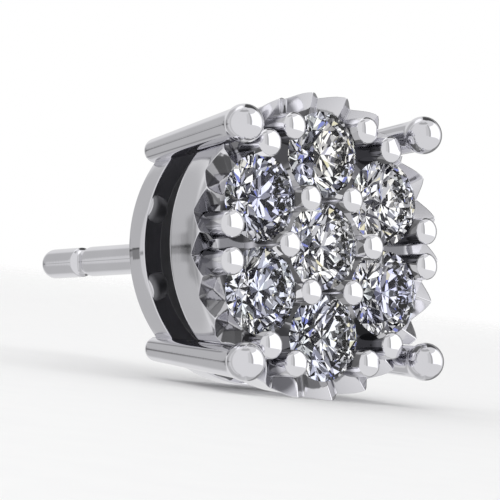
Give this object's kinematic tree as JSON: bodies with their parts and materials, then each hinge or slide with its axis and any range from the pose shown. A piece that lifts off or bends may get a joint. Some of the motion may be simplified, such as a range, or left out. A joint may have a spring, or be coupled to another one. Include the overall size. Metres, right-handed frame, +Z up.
{
  "type": "cluster stud earring",
  "caption": "Round cluster stud earring: brilliant-cut stones bead-set in a fluted cup, held by ball-tipped claws on a back ring with a notched ear post.",
  "frame": {"origin": "centre of the bounding box's base, on the surface that the earring lies on", "axes": "+Y from the face towards the tip of the ear post, +Z up, +X to the right seen from the face. The face looks along -Y and 6.2 degrees upward."},
  "size_m": [0.0074, 0.0132, 0.0074],
  "materials": {
    "cup_metal": "polished white gold",
    "basket_metal": "polished white gold",
    "stone": "clear polished facets"
  },
  "bodies": {
    "root": {"cluster_cup": "cup_metal", "basket": "basket_metal", "stone_center": "stone", "stone_1": "stone", "stone_2": "stone", "stone_3": "stone", "stone_4": "stone", "stone_5": "stone", "stone_6": "stone"}
  },
  "joints": []
}
